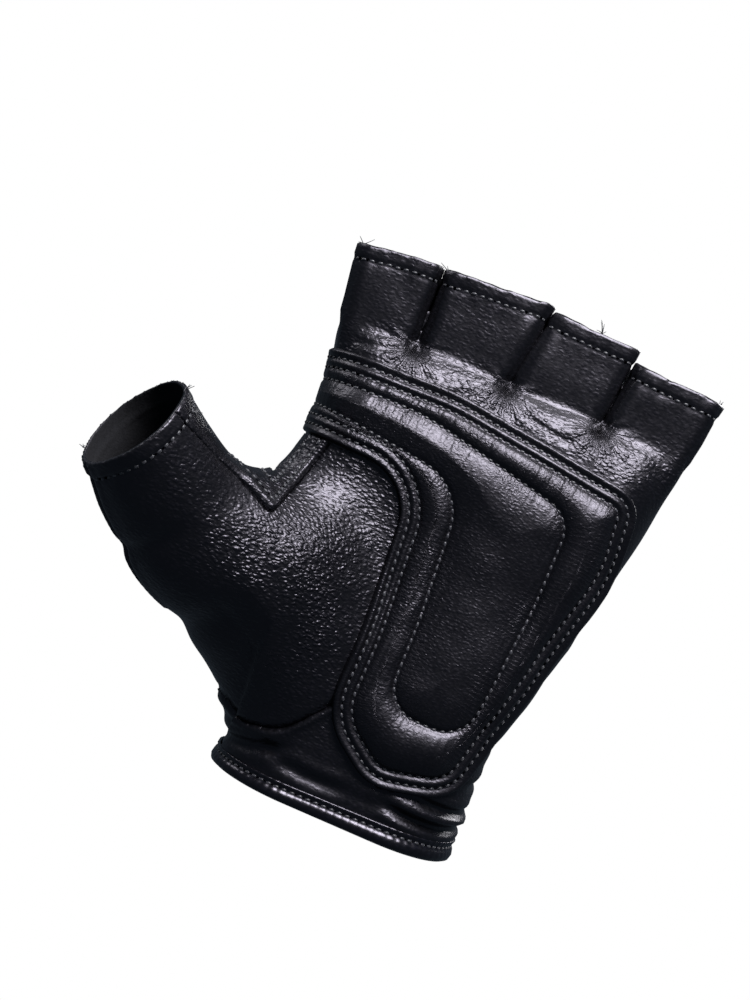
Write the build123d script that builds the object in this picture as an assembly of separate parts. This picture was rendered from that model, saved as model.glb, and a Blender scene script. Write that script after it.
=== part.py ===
"""Left-hand fingerless leather glove, open as a hand fills it: fingers towards +Z, palm towards -Y.

The inside of the glove is one hand form. Every layer, from the lining side to the thread on top, is a slice
between two grown copies of that form, cut to its own outline, so each piece lies on the one under it.
The origin is the centre of the wrist opening, on the rim of the binding. Units are millimetres.
"""

import os

from build123d import *

# Leather and the other goods
LEATHER = 1.2
OVERLAY = 1.1
PAD = 2.4
THREAD = 0.35
THREAD_WIDTH = 0.8
FABRIC = 0.9
RUNNING_GAP = 0.35
OPEN_END = 10.0

# Wrist and palm, as the hand fills them: the leather comes on top
CUFF_WIDTH = 62.0
CUFF_DEPTH = 43.0
HEEL_HEIGHT = 30.0
HEEL_WIDTH = 65.0
HEEL_DEPTH = 43.0
PALM_HEIGHT = 62.0
PALM_WIDTH = 79.0
PALM_DEPTH = 34.0
PALM_SET_FORWARD = 3.0
KNUCKLE_HEIGHT = 96.0
KNUCKLE_DEPTH = 31.0
WEB_HEIGHT = 117.0
WEB_DEPTH = 25.0
SIDE_ROUNDING = 0.44

# Finger stalls, from the thumb side: widths at the web and at the rim, depth, length past the web, lean
STALLS = {
    "index": {"web_width": 18.3, "rim_width": 19.3, "depth": 22.5, "length": 21.5, "lean": -4.7},
    "middle": {"web_width": 22.2, "rim_width": 26.6, "depth": 23.0, "length": 25.0, "lean": 2.9},
    "ring": {"web_width": 23.0, "rim_width": 21.2, "depth": 22.5, "length": 24.0, "lean": 6.9},
    "little": {"web_width": 21.6, "rim_width": 21.8, "depth": 21.0, "length": 19.5, "lean": 6.6},
}
STALL_GAP = 3.0
STALL_ROOT = 22.0
FOURCHETTE_WIDTH = 9.0

# Thumb stall: rim centre, pointing direction, and (distance back, half across, half through, drop)
THUMB_RIM = Vector(-80.5, -42.0, 72.0)
THUMB_AXIS = Vector(-0.754, -0.462, 0.467).normalized()
THUMB_SECTIONS = (
    (0.0, 13.8, 13.2, 0.0),
    (12.0, 15.0, 13.8, 1.9),
    (24.0, 16.3, 14.8, 3.5),
    (36.0, 19.6, 16.5, 1.4),
    (50.0, 23.5, 18.5, -1.5),
    (66.0, 23.0, 19.0, 0.5),
    (80.0, 18.0, 15.0, 5.0),
    (92.0, 9.0, 8.0, 6.0),
)
THUMB_BACK_LENGTH = 42.0
THUMB_SEAM_HEIGHT = 68.5
THUMB_SEAM_X = -34.0

# Padded palm patch: corner points (x, z) and the radius that rounds each
SIDE_REACH = -64.0
PATCH_CORNERS = (
    (SIDE_REACH, 109.2, 2), (-12, 110.8, 90), (39.8, 104.4, 8), (42.6, 84, 40), (26, 17.5, 12), (5, 12.6, 13),
    (-12, 24.5, 18), (-12, 50, 90), (-14.5, 86.4, 14), (SIDE_REACH, 87.5, 2),
)
PAD_LINE_CORNERS = (
    (SIDE_REACH, 101.2, 2), (-18, 102.2, 60), (25.2, 93.4, 8), (25.5, 68, 70), (21.8, 32.2, 8.5), (1, 32.2, 8.5),
    (0.6, 55, 70), (-2.2, 90, 14), (SIDE_REACH, 97.0, 2),
)
PATCH_ROWS = (2.4, 5.0)
PAD_INSET = 6.9
PAD_CHANNEL = 3.6
PATCH_WRAP = 4.0
PATCH_CLEARANCE = 1.0

# Thenar panel that runs down from the thumb, and the web piece between thumb and index finger
THENAR_CORNERS = (
    (-120, 112, 2), (-70, 80, 2), (-38, 80, 2), (-14, 82, 12), (-8, 55, 40), (-9, 30, 10), (-20, 16.5, 12),
    (-31, 14, 10), (-45, 19, 10), (-120, 25, 2),
)
WEB_CORNERS = ((-90, 95, 2), (-90, 87.4, 2), (-42.6, 65.2, 1), (-35.2, 95, 2))
WEB_BAND_WIDTH = 8.5
WEB_BAND_END = -58.0
WEB_ROWS = (2.2, 5.0)

# Openings: hems, binding and the slit at the back of the wrist with its tab
HEM_ROW = 4.0
BINDING_HEIGHT = 5.6
BINDING = 1.0
CUFF_ROW = 7.0
SLIT_X = 2.0
SLIT_WIDTH = 9.0
SLIT_HEIGHT = 40.0
UNDERLAP_MARGIN = 6.0
ELASTIC_HEIGHT = 22.0
ELASTIC_WIDTH = 10.0
ELASTIC_LENGTH = 17.0
TAB_LOW = 9.0
TAB_WIDTH = 25.0
TAB_LENGTH = 41.0
TAB_HINGE_X = -16.0
TAB_CORNER = 8.0
ANCHOR_LENGTH = 8.0
TAPE = 1.0
TAPE_LENGTH = 17.0
TAPE_CORNER = 2.0
TAPE_MARGIN = 4.0
TAB_ROW = 2.2

# Worked out from the sizes above
SPAN = sum(stall["web_width"] for stall in STALLS.values()) + STALL_GAP * (len(STALLS) - 1)
FAR = 160.0
HOOK_LEVEL = LEATHER + TAPE + RUNNING_GAP
TAB_LEVEL = HOOK_LEVEL + TAPE
TAB_TOP = TAB_LEVEL + OVERLAY


def rounded(width, depth, rounding):
    """A rectangle with round ends that never quite meet."""
    return RectangleRounded(width, depth, min(rounding, 0.49 * width, 0.49 * depth))


def stall_middle(name):
    """Where a stall's middle crosses the web: the stalls stand side by side with equal gaps."""
    edge = -SPAN / 2
    for other, stall in STALLS.items():
        if other == name:
            return edge + stall["web_width"] / 2
        edge += stall["web_width"] + STALL_GAP


def body_form(grow, reach=0.0):
    """The wrist and palm as far as the finger webs, with the wrist run out by reach."""
    sections = (
        (0.0, CUFF_WIDTH, CUFF_DEPTH, 0.0),
        (HEEL_HEIGHT / 2, CUFF_WIDTH, CUFF_DEPTH, 0.0),
        (HEEL_HEIGHT, HEEL_WIDTH, HEEL_DEPTH, PALM_SET_FORWARD / 2),
        (PALM_HEIGHT, PALM_WIDTH, PALM_DEPTH, PALM_SET_FORWARD),
        (KNUCKLE_HEIGHT, SPAN - 3, KNUCKLE_DEPTH, PALM_SET_FORWARD / 3),
        (WEB_HEIGHT + grow, SPAN, WEB_DEPTH, 0.0),
    )
    faces = [
        Pos(0, -forward, height) * rounded(width + 2 * grow, depth + 2 * grow, SIDE_ROUNDING * depth + grow)
        for height, width, depth, forward in sections
    ]
    form = loft(faces)
    if reach:
        form += extrude(faces[0], amount=-reach)
    return form


def stall_place(name):
    """The leaning frame of a stall, with its origin at the web."""
    return Pos(stall_middle(name), 0, WEB_HEIGHT) * Rot(0, STALLS[name]["lean"], 0)


def stall_form(name, grow, reach=0.0):
    """One finger stall, from inside the palm to its rim, with the rim run out by reach."""
    stall = STALLS[name]
    flare = (stall["rim_width"] - stall["web_width"]) / stall["length"]
    faces = []
    for height in (-STALL_ROOT, stall["length"] + reach):
        width = stall["web_width"] + flare * height + 2 * grow
        depth = stall["depth"] + 2 * grow
        faces.append(Pos(0, 0, height) * rounded(width, depth, SIDE_ROUNDING * stall["web_width"] + grow))
    return stall_place(name) * loft(faces)


def thumb_frame(back=0.0, drop=0.0):
    """A plane across the thumb, its x direction towards the wrist side of the thumb."""
    across = Vector(THUMB_AXIS.Z, 0, -THUMB_AXIS.X).normalized() * -1
    return Plane(THUMB_RIM - THUMB_AXIS * back + across * drop, x_dir=across, z_dir=THUMB_AXIS)


def thumb_form(grow, reach=0.0):
    """The thumb stall and the ball of the thumb, from the rim back into the palm."""
    faces = [
        thumb_frame(back, drop) * Ellipse(across + grow, through + grow)
        for back, across, through, drop in THUMB_SECTIONS
    ]
    form = loft(faces)
    if reach:
        form += extrude(faces[0], amount=reach, dir=THUMB_AXIS)
    return form


def hand_form(grow, reach=0.0):
    """The whole form: what the glove holds, grown by the layers that lie on it."""
    form = body_form(grow, reach) + thumb_form(grow, reach)
    for name in STALLS:
        form += stall_form(name, grow, reach)
    return form


def outline(corners):
    """A closed outline in the palm's own plane, each corner rounded by its own radius."""
    points = [(x, z) for x, z, _ in corners]
    return make_face(FilletPolyline(*points, radius=[radius for _, _, radius in corners], close=True))


def through(face, near, far):
    """The outline as a block running from y = near to y = far."""
    return extrude(Plane.XZ.offset(-near) * face, amount=near - far)


def block(low, high):
    """A box between two corners."""
    size = [top - bottom for bottom, top in zip(low, high)]
    return Pos(*[(top + bottom) / 2 for bottom, top in zip(low, high)]) * Box(*size)


def ring(face, out, into):
    """The band between the outline moved out and the outline moved in."""
    return offset(face, amount=out) - offset(face, amount=-into)


def row(face, inset):
    """One row of stitching, a thread wide, that keeps its distance inside an outline."""
    return ring(face, THREAD_WIDTH / 2 - inset, THREAD_WIDTH / 2 + inset)


forms = {}


def form_at(grow):
    """The outside of the hand form grown by a stack of layers, made once."""
    key = round(grow, 3)
    if key not in forms:
        forms[key] = hand_form(key)
    return forms[key]


def layer(low, high):
    """Everything between two heights above the hand."""
    return form_at(high) - form_at(low)


def wrist_layer(low, high):
    """As layer, but over the wrist and palm alone, where the back closure lies."""
    return body_form(high) - body_form(low, OPEN_END)


def slit():
    """The opening at the back of the wrist, round at its top."""
    arch = SLIT_HEIGHT - SLIT_WIDTH / 2
    opening = block((SLIT_X - SLIT_WIDTH / 2, 0, -OPEN_END), (SLIT_X + SLIT_WIDTH / 2, FAR, arch))
    return opening + Pos(SLIT_X, FAR / 2, arch) * Rot(90, 0, 0) * Cylinder(SLIT_WIDTH / 2, FAR)


def in_front_of(plane):
    """Everything in front of a plane."""
    return plane * Pos(0, 0, FAR) * Box(4 * FAR, 4 * FAR, 2 * FAR)


def build_panels():
    """The leather shell, cut along its seams into the pieces it is sewn from."""
    pieces = {}
    shell = form_at(LEATHER) - hand_form(0, OPEN_END)
    shell -= block((-FAR, -FAR, -OPEN_END), (FAR, FAR, BINDING))
    names = list(STALLS)
    for left, right in zip(names, names[1:]):
        low = (stall_middle(left), -FOURCHETTE_WIDTH / 2, WEB_HEIGHT - LEATHER)
        high = (stall_middle(right), FOURCHETTE_WIDTH / 2, FAR)
        pieces[f"fourchette_{left}_{right}"] = shell & block(low, high)
    web = through(outline(WEB_CORNERS), -FAR, 0)
    pieces["web_gusset"] = shell & web

    facing = THUMB_AXIS.cross(Vector(0, -1, 0)).cross(THUMB_AXIS)
    palm_half = in_front_of(Plane(THUMB_RIM, x_dir=THUMB_AXIS, z_dir=facing))
    thenar = through(outline(THENAR_CORNERS), -FAR, 0) & palm_half
    pieces["thumb_front"] = (shell & thenar) - web
    thumb_zone = in_front_of(thumb_frame(THUMB_BACK_LENGTH)) & block((-FAR, -FAR, 0), (-SPAN / 2, 0, KNUCKLE_HEIGHT))
    pieces["thumb_back"] = (shell & thumb_zone) - palm_half - web
    rest = shell
    for piece in list(pieces.values()):
        rest = rest - piece
    palm_side = block((-FAR, -FAR, 0), (FAR, 0, FAR))
    palm_side -= block((-FAR, -FAR, 0), (THUMB_SEAM_X, 1, THUMB_SEAM_HEIGHT)) - palm_half
    pieces["palm_panel"] = rest & palm_side
    pieces["back_panel"] = (rest - palm_side) - slit()
    return pieces


def build_patch():
    """The padded patch: two foam pads on the palm, the leather over them, and its rows of thread."""
    pieces = {}
    patch = outline(PATCH_CORNERS)
    pad_line = outline(PAD_LINE_CORNERS)
    half = PAD_CHANNEL / 2
    border = offset(patch, amount=-PAD_INSET) - offset(pad_line, amount=half)
    centre = offset(pad_line, amount=-half)
    cover = offset(patch, amount=OVERLAY - PAD_INSET) - offset(pad_line, amount=half - OVERLAY)
    cover += offset(pad_line, amount=OVERLAY - half)
    foam = layer(LEATHER, LEATHER + PAD)
    pieces["pad_border"] = foam & through(border, -FAR, -PATCH_WRAP - OVERLAY)
    pieces["pad_centre"] = foam & through(centre, -FAR, -PATCH_WRAP - OVERLAY)
    raised = layer(LEATHER, LEATHER + PAD + OVERLAY) & through(cover, -FAR, -PATCH_WRAP)
    flat = layer(LEATHER, LEATHER + OVERLAY) & through(patch, -FAR, -PATCH_WRAP)
    pieces["palm_patch"] = (flat + raised) - pieces["pad_border"] - pieces["pad_centre"]
    thread = layer(LEATHER + OVERLAY, LEATHER + OVERLAY + THREAD)
    for name, inset in zip(("patch_stitching_outer", "patch_stitching_inner"), PATCH_ROWS):
        pieces[name] = thread & through(row(patch, inset), -FAR, -PATCH_WRAP)
    pieces["pad_stitching"] = thread & through(row(pad_line, 0), -FAR, -PATCH_WRAP)
    return pieces


def build_web_band():
    """The turned edge that strengthens the web, laid on the gusset, and its rows of thread."""
    pieces = {}
    web = outline(WEB_CORNERS)
    top = min(z for x, z, _ in PATCH_CORNERS if x == SIDE_REACH) - PATCH_CLEARANCE
    reach = block((WEB_BAND_END, -FAR, 0), (0, -PATCH_WRAP, top))
    band = through(ring(web, 0, WEB_BAND_WIDTH), -FAR, -PATCH_WRAP) & reach
    pieces["web_band"] = layer(LEATHER, LEATHER + OVERLAY) & band
    rows = through(row(web, WEB_ROWS[0]) + row(web, WEB_ROWS[1]), -FAR, -PATCH_WRAP) & reach
    pieces["web_stitching"] = layer(LEATHER + OVERLAY, LEATHER + OVERLAY + THREAD) & rows
    return pieces


def build_hems():
    """The stitching that holds the turned-in hem of each stall."""
    pieces = {}
    rows = None
    sides = block((-SPAN, -FOURCHETTE_WIDTH / 2, 0), (SPAN, FOURCHETTE_WIDTH / 2, FAR))
    for name, stall in STALLS.items():
        slab = stall_place(name) * Pos(0, 0, stall["length"] - HEM_ROW) * Box(SPAN, SPAN, THREAD_WIDTH)
        thread = (stall_form(name, LEATHER + THREAD) - stall_form(name, LEATHER)) & slab
        rows = thread - sides if rows is None else rows + (thread - sides)
    pieces["finger_hem_stitching"] = rows
    slab = thumb_frame(HEM_ROW) * Box(SPAN, SPAN, THREAD_WIDTH)
    pieces["thumb_hem_stitching"] = (thumb_form(LEATHER + THREAD) - thumb_form(LEATHER)) & slab
    return pieces


def build_cuff():
    """The wrist edge: its binding and stitching, and the elastic and underlap inside the back."""
    pieces = {}
    opening = slit()
    roll = body_form(LEATHER + BINDING) - body_form(-BINDING, OPEN_END)
    roll = roll & block((-FAR, -FAR, 0), (FAR, FAR, BINDING_HEIGHT))
    tucked = wrist_layer(0, LEATHER) & block((-FAR, -FAR, BINDING), (FAR, FAR, BINDING_HEIGHT))
    pieces["cuff_binding"] = roll - tucked - opening
    slab = block((-FAR, -FAR, CUFF_ROW - THREAD_WIDTH / 2), (FAR, FAR, CUFF_ROW + THREAD_WIDTH / 2))
    pieces["cuff_stitching"] = (wrist_layer(LEATHER, LEATHER + THREAD) & slab) - opening
    edge = SLIT_X - SLIT_WIDTH / 2 - UNDERLAP_MARGIN
    low = (edge, 0, BINDING_HEIGHT + RUNNING_GAP)
    high = (SLIT_X + SLIT_WIDTH / 2 + UNDERLAP_MARGIN, FAR, SLIT_HEIGHT + UNDERLAP_MARGIN)
    pieces["wrist_underlap"] = wrist_layer(-LEATHER, 0) & block(low, high)
    low = (edge - RUNNING_GAP - ELASTIC_LENGTH, 0, ELASTIC_HEIGHT - ELASTIC_WIDTH / 2)
    high = (edge - RUNNING_GAP, FAR, ELASTIC_HEIGHT + ELASTIC_WIDTH / 2)
    pieces["wrist_elastic"] = wrist_layer(-FABRIC, 0) & block(low, high)
    return pieces


def back_outline(left, right, inset, radius):
    """A round-ended strip across the back of the wrist, in the plane that faces it."""
    width = right - left
    height = TAB_WIDTH - 2 * inset
    return Pos((left + right) / 2, TAB_LOW + TAB_WIDTH / 2) * RectangleRounded(width, height, radius)


def build_closure():
    """The tab that closes the slit: sewn down on the thumb side, held by hook and loop on the other."""
    pieces = {}
    far_end = TAB_HINGE_X + TAB_LENGTH
    tape_right = far_end - TAPE_MARGIN
    tape = back_outline(tape_right - TAPE_LENGTH, tape_right, TAPE_MARGIN, TAPE_CORNER)
    pieces["tab_loop"] = wrist_layer(LEATHER, LEATHER + TAPE) & through(tape, 0, FAR)
    pieces["tab_hook"] = wrist_layer(HOOK_LEVEL, TAB_LEVEL) & through(tape, 0, FAR)
    tab = back_outline(TAB_HINGE_X - TAB_CORNER, far_end, 0, TAB_CORNER)
    free = block((TAB_HINGE_X + RUNNING_GAP, 0, 0), (far_end, FAR, FAR))
    pieces["tab_leather"] = wrist_layer(TAB_LEVEL, TAB_TOP) & through(tab, 0, FAR) & free
    sewn = block((TAB_HINGE_X + TAB_ROW, 0, 0), (far_end, FAR, FAR))
    rows = through(row(tab, TAB_ROW), 0, FAR) & sewn
    pieces["tab_stitching"] = wrist_layer(TAB_TOP, TAB_TOP + THREAD) & rows
    anchor = block((TAB_HINGE_X - ANCHOR_LENGTH, 0, TAB_LOW), (TAB_HINGE_X, FAR, TAB_LOW + TAB_WIDTH))
    pieces["tab_anchor"] = wrist_layer(LEATHER, TAB_TOP) & anchor
    return pieces


def hinge_point():
    """Where the tab bends: the outer edge of its anchor, on the round of the wrist."""
    radius = SIDE_ROUNDING * CUFF_DEPTH + TAB_TOP
    flat = CUFF_WIDTH / 2 + TAB_TOP - radius
    run = max(0.0, abs(TAB_HINGE_X) - flat)
    return TAB_HINGE_X, CUFF_DEPTH / 2 + TAB_TOP - radius + (radius ** 2 - run ** 2) ** 0.5


def main():
    """Build every piece and write each to its own file."""
    pieces = {}
    for build in (build_panels, build_patch, build_web_band, build_hems, build_cuff, build_closure):
        pieces.update(build())
    os.makedirs("parts", exist_ok=True)
    for name, piece in pieces.items():
        export_step(piece, f"parts/{name}.step")
    print("tab bends about x, y =", [round(value, 2) for value in hinge_point()])
    print(len(pieces), "pieces")


main()
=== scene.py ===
"""A left-hand fingerless leather glove, built panel by panel round the CAD frame."""

import math

import bpy
import numpy as np
from mathutils import Matrix, Vector


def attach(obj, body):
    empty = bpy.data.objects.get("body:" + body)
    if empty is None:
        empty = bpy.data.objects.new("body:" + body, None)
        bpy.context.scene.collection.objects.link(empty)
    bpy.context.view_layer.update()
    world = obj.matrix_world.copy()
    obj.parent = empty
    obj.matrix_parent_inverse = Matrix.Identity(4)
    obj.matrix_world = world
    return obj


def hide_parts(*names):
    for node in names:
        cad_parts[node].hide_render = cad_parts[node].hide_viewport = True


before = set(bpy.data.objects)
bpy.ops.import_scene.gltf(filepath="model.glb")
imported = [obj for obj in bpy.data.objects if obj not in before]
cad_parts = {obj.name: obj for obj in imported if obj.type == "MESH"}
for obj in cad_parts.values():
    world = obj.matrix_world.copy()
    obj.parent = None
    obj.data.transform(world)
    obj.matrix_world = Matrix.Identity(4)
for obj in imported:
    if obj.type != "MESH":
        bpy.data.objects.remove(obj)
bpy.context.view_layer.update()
bpy.ops.object.select_all(action="DESELECT")


# ---------------------------------------------------------------------------------------------------------
# Shape of the glove on a hand. Soft leather takes the form of what fills it, so all the panels are cut from
# one skin: wrist and palm, four finger stalls and the thumb, blended where the leather is drawn smooth.
# Distances are millimetres; a mesh goes to metres as it becomes an object.

MM = 0.001
CELL = 0.8
WEB = 118.2
CUFF_DROP = 4.0

# height, half width, front, back
BODY = np.array((
    (-10, 32.2, -22.9, 22.4), (0, 32.4, -22.9, 22.6), (15, 32.6, -23.2, 22.8), (30, 33.6, -23.8, 21.8),
    (46, 37.0, -22.4, 18.6), (62, 40.4, -20.4, 15.6), (80, 43.6, -19.4, 15.4), (97, 46.2, -19.2, 15.6),
    (109, 47.4, -16.6, 14.8), (120, 48.0, -12.6, 13.4)))

# web centre, half width there, half width at the rim, half depth, length, lean in degrees
STALLS = {
    "index": (-37.9, 10.3, 10.8, 11.9, 21.5, -4.7),
    "middle": (-14.65, 12.2, 14.4, 12.2, 25.0, 2.9),
    "ring": (10.95, 12.6, 11.7, 11.9, 24.0, 6.9),
    "little": (36.25, 11.9, 12.0, 11.2, 19.5, 6.6),
}
# how far each stall stands towards the palm side, below zero towards the back
FORWARD = {"index": 0.5, "middle": -0.4, "ring": -0.8, "little": 1.0}
STALL_ROOT = 20.0
STALL_CORNER = 4.6

THUMB_RIM = np.array((-80.5, -42.0, 72.0))
THUMB_AXIS = np.array((-0.754, -0.462, 0.467))
THUMB_AXIS /= np.linalg.norm(THUMB_AXIS)
THUMB_ACROSS = np.array((-THUMB_AXIS[2], 0, THUMB_AXIS[0])) / math.hypot(THUMB_AXIS[0], THUMB_AXIS[2])
THUMB_THROUGH = np.cross(THUMB_AXIS, THUMB_ACROSS)

# back from the rim, half across, half through, drop towards the wrist
THUMB = np.array((
    (-8, 14.8, 14.2, -0.6), (0, 15.0, 14.4, 0), (12, 16.2, 15.0, 1.9), (24, 17.6, 16.0, 3.2),
    (36, 20.2, 17.6, 1.6), (50, 24.0, 19.6, -1.0), (66, 23.6, 19.4, 0.8), (80, 18.6, 15.6, 5.0),
    (94, 8.0, 7.0, 6.0)))

# the web of leather between thumb and palm is drawn tight about this place
WEB_MIDDLE = np.array((-49.0, -18.0, 86.0))
WEB_REACH = 22.0
# how widely two shapes run together: the thumb's ball, how much more at the web, and the stalls' roots
THUMB_FILLET, WEB_FILLET, STALL_FILLET = 12.0, 16.0, 1.8

# where the hand falls in from its even shape: x, z, reach along each, and depth
HOLLOWS = ((-47, 101, 9, 13, 2.3), (39, 36, 9, 17, 2.2))


def along(position, table, column):
    """A column of a table, run smoothly through its stations."""
    stations = table[:, 0]
    values = table[:, column]
    slopes = np.gradient(values, stations)
    i = np.clip(np.searchsorted(stations, position) - 1, 0, len(stations) - 2)
    run = stations[i + 1] - stations[i]
    t = np.clip((position - stations[i]) / run, 0, 1)
    rise = values[i + 1] - values[i]
    bend = t * (1 - t) * ((1 - t) * (slopes[i] * run - rise) - t * (slopes[i + 1] * run - rise))
    return values[i] + rise * t + bend


def rounded_box(across, through, half_across, half_through, corner):
    """Distance outside a rounded rectangle."""
    a = np.abs(across) - half_across + corner
    b = np.abs(through) - half_through + corner
    return np.hypot(np.maximum(a, 0), np.maximum(b, 0)) + np.minimum(np.maximum(a, b), 0) - corner


def blend(a, b, reach):
    """The nearer of two distances, with the crease between them filled."""
    h = np.maximum(reach - np.abs(a - b), 0) / reach
    return np.minimum(a, b) - h * h * reach / 4


def body_distance(p):
    """Distance from the wrist and palm, closed over at the finger webs."""
    half = along(p[:, 2], BODY, 1)
    front = along(p[:, 2], BODY, 2)
    back = along(p[:, 2], BODY, 3)
    middle = (front + back) / 2
    deep = (back - front) / 2
    around = rounded_box(p[:, 0] + 0.4, p[:, 1] - middle, half, deep, 0.9 * deep)
    return -blend(-around, WEB - p[:, 2], 5.0)


def stall_place(p, name):
    """Points in a stall's own leaning frame: across, through and up from the web."""
    centre, _, _, _, _, lean = STALLS[name]
    c, s = math.cos(math.radians(lean)), math.sin(math.radians(lean))
    x, z = p[:, 0] - centre, p[:, 2] - WEB + 1.2
    return x * c - z * s, p[:, 1], x * s + z * c


def stall_distance(p, name):
    """Distance from one finger stall: a soft-cornered tube that runs on past its rim."""
    _, web, rim, deep, length, _ = STALLS[name]
    across, through, up = stall_place(p, name)
    through = through + FORWARD[name]
    share = np.clip(up / length, -0.6, 1.3)
    corner = STALL_CORNER - 1.5 * share
    around = rounded_box(across, through, web + (rim - web) * share, deep - 0.8 * share, corner)
    around = around + 3.5 * np.clip(-up / STALL_ROOT, 0, 1) ** 1.5
    return np.maximum(around, np.maximum(up - length - 4, -STALL_ROOT - up))


def thumb_place(p):
    """Points in the thumb's frame: back from the rim, across and through."""
    q = p - THUMB_RIM
    return -q @ THUMB_AXIS, q @ THUMB_ACROSS, q @ THUMB_THROUGH


def thumb_distance(p):
    """Distance from the thumb and its ball, oval all the way."""
    back, across, through = thumb_place(p)
    across = across - along(back, THUMB, 3)
    half_a, half_t = along(back, THUMB, 1), along(back, THUMB, 2)
    near = np.hypot(across / half_a, through / half_t)
    steep = np.hypot(across / half_a ** 2, through / half_t ** 2) + 1e-6
    return np.maximum(near * (near - 1) / steep, np.maximum(-back - 6, back - 92))


def hand_distance(p):
    """Distance from the whole glove's outer skin, negative inside."""
    from_web = np.linalg.norm(p - WEB_MIDDLE, axis=1)
    fillet = THUMB_FILLET + WEB_FILLET * np.exp(-(from_web / WEB_REACH) ** 2)
    d = blend(body_distance(p), thumb_distance(p), fillet)
    for name in STALLS:
        d = np.where(p[:, 2] > 90, blend(d, stall_distance(p, name), STALL_FILLET), d)
    for x, z, reach_x, reach_z, depth in HOLLOWS:
        d = d + depth * np.exp(-((p[:, 0] - x) / reach_x) ** 2 - ((p[:, 2] - z) / reach_z) ** 2)
    return d


def facing(p):
    """Which way the skin faces at each point."""
    e = 0.6
    n = np.stack([hand_distance(p + e * axis) - hand_distance(p - e * axis) for axis in np.eye(3)], axis=1)
    return n / np.linalg.norm(n, axis=1)[:, None]


def settle(p, rounds=3):
    """Points pulled onto the skin."""
    for _ in range(rounds):
        p = p - np.clip(hand_distance(p), -1, 1)[:, None] * facing(p)
    return p


def skin(low, high, cell):
    """Even quads over the skin: one point in each grid cell that the skin passes through."""
    counts = [int((b - a) / cell) + 1 for a, b in zip(low, high)]
    axes = [a + cell * np.arange(n) for a, n in zip(low, counts)]
    filled = np.empty(counts, dtype=bool)
    for i, x in enumerate(axes[0]):
        y, z = np.meshgrid(axes[1], axes[2], indexing="ij")
        layer = np.stack((np.full(y.size, x), y.ravel(), z.ravel()), axis=1)
        filled[i] = (hand_distance(layer) < 0).reshape(y.shape)
    corners = sum(
        filled[i:counts[0] - 1 + i, j:counts[1] - 1 + j, k:counts[2] - 1 + k].astype(int)
        for i in (0, 1) for j in (0, 1) for k in (0, 1))
    crossed = (corners > 0) & (corners < 8)
    number = np.full(crossed.shape, -1)
    number[crossed] = np.arange(crossed.sum())
    points = np.argwhere(crossed) * cell + np.array(low) + cell / 2
    quads = []
    for axis in range(3):
        first = np.moveaxis(filled, axis, 0)
        cells = np.moveaxis(number, axis, 0)
        change = first[:-1, 1:-1, 1:-1] != first[1:, 1:-1, 1:-1]
        i, j, k = np.nonzero(change)
        quad = np.stack(
            (cells[i, j, k], cells[i, j + 1, k], cells[i, j + 1, k + 1], cells[i, j, k + 1]), axis=1)
        leaves = first[i, j + 1, k + 1] ^ (axis == 1)
        quad[~leaves] = quad[~leaves][:, ::-1]
        quads.append(quad[(quad >= 0).all(axis=1)])
    quads = np.concatenate(quads)
    points = settle(points, 4)
    links = np.concatenate([quads[:, (i, (i + 1) % 4)] for i in range(4)])
    for _ in range(3):
        total = np.zeros_like(points)
        count = np.zeros(len(points))
        for a, b in ((0, 1), (1, 0)):
            np.add.at(total, links[:, a], points[links[:, b]])
            np.add.at(count, links[:, a], 1)
        points = settle(0.5 * points + 0.5 * total / np.maximum(count, 1)[:, None], 1)
    return settle(points, 2), np.concatenate((quads[:, (0, 1, 2)], quads[:, (0, 2, 3)]))


SKIN_LOW, SKIN_HIGH = (-100, -66, -CUFF_DROP), (58, 30, 152)
SKIN = skin(SKIN_LOW, SKIN_HIGH, CELL)


# ---------------------------------------------------------------------------------------------------------
# How a panel is cut and given its body. A panel is the part of the skin where a signed distance is positive;
# it gets a worked outer face, a cut edge and a suede side a leather's thickness in.

LEATHER = 1.15
EDGE_ROUND = 0.45


def cut(mesh, keep):
    """The part of a mesh of triangles where keep is positive, cut cleanly along its zero line."""
    points, faces = mesh
    value = keep(points)
    value = np.where(np.abs(value) < 0.02, 0.02, value)
    up = value[faces] > 0
    count = up.sum(axis=1)
    whole = faces[count == 3]
    part = faces[(count == 1) | (count == 2)]
    lone = np.where((value[part] > 0).sum(axis=1) == 1, 1, 0)
    odd = np.argmax((value[part] > 0) == lone[:, None].astype(bool), axis=1)
    rows = np.arange(len(part))
    a, b, c = (part[rows, (odd + i) % 3] for i in range(3))
    edges = np.concatenate((np.stack((a, b), 1), np.stack((a, c), 1)))
    edges.sort(axis=1)
    unique, place = np.unique(edges, axis=0, return_inverse=True)
    place = place.reshape(-1)
    start, end = value[unique[:, 0]], value[unique[:, 1]]
    share = (start / (start - end))[:, None]
    crossing = points[unique[:, 0]] * (1 - share) + points[unique[:, 1]] * share
    ab, ac = place[:len(part)] + len(points), place[len(part):] + len(points)
    tips = np.stack((a, ab, ac), 1)[lone == 1]
    wide = lone == 0
    trunks = np.concatenate((np.stack((ab, b, c), 1)[wide], np.stack((ab, c, ac), 1)[wide]))
    faces = np.concatenate((whole, tips, trunks))
    points = np.concatenate((points, crossing))
    used, faces = np.unique(faces, return_inverse=True)
    return points[used], faces.reshape(-1, 3)


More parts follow.
